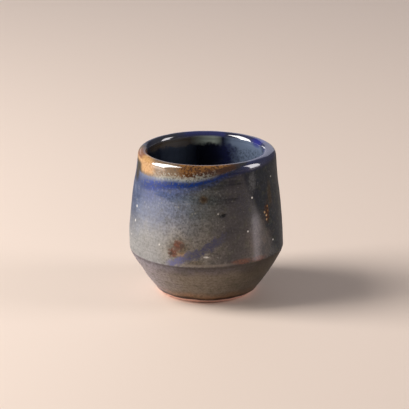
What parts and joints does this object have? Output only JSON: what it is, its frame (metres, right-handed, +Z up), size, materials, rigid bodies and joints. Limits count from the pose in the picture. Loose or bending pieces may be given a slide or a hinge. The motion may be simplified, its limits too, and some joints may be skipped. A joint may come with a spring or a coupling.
{
  "type": "cup",
  "caption": "Small handleless wheel-thrown stoneware cup with a low keel, a narrow turned foot and a rounded lip, dipped in layered reactive glazes.",
  "frame": {"origin": "on the cup's axis at the level of the standing foot ring, so the cup stands on z = 0", "axes": "+Z up along the cup's axis; the side with the rim glaze's slanted lower edge faces -Y and +X is to its right"},
  "size_m": [0.066, 0.0656, 0.0626],
  "materials": {
    "clay": "matte",
    "base_glaze": "satin",
    "rim_glaze": "gloss",
    "liner_glaze": "gloss"
  },
  "bodies": {
    "root": {"clay_body": "clay", "base_glaze": "base_glaze", "rim_glaze": "rim_glaze", "liner_glaze": "liner_glaze"}
  },
  "joints": []
}
